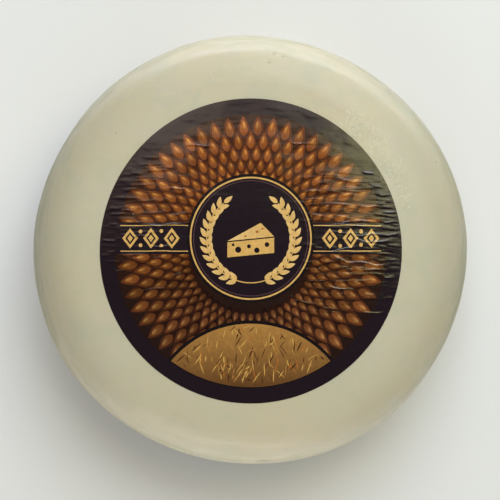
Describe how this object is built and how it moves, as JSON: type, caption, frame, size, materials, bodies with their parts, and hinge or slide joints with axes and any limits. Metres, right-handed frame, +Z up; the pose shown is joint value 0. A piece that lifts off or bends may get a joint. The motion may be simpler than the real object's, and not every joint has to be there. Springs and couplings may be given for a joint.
{
  "type": "cheese wheel",
  "caption": "Whole round goat-milk cheese wheel with a smooth coated rind, bulging sides, a flat base and a round printed label on its top.",
  "frame": {"origin": "middle of the footprint, on the surface the wheel rests on", "axes": "+Z up out of the labelled top; +Y towards the top edge of the label's design; +X to its right"},
  "size_m": [0.2516, 0.2488, 0.0922],
  "materials": {
    "coated_rind": "pale ivory cheese under a thin clear satin coating",
    "printed_label": "film-coated paper, dark aubergine print with amber and gold, finely wrinkled"
  },
  "bodies": {
    "root": {"cheese_wheel": "coated_rind", "label": "printed_label"}
  },
  "joints": []
}
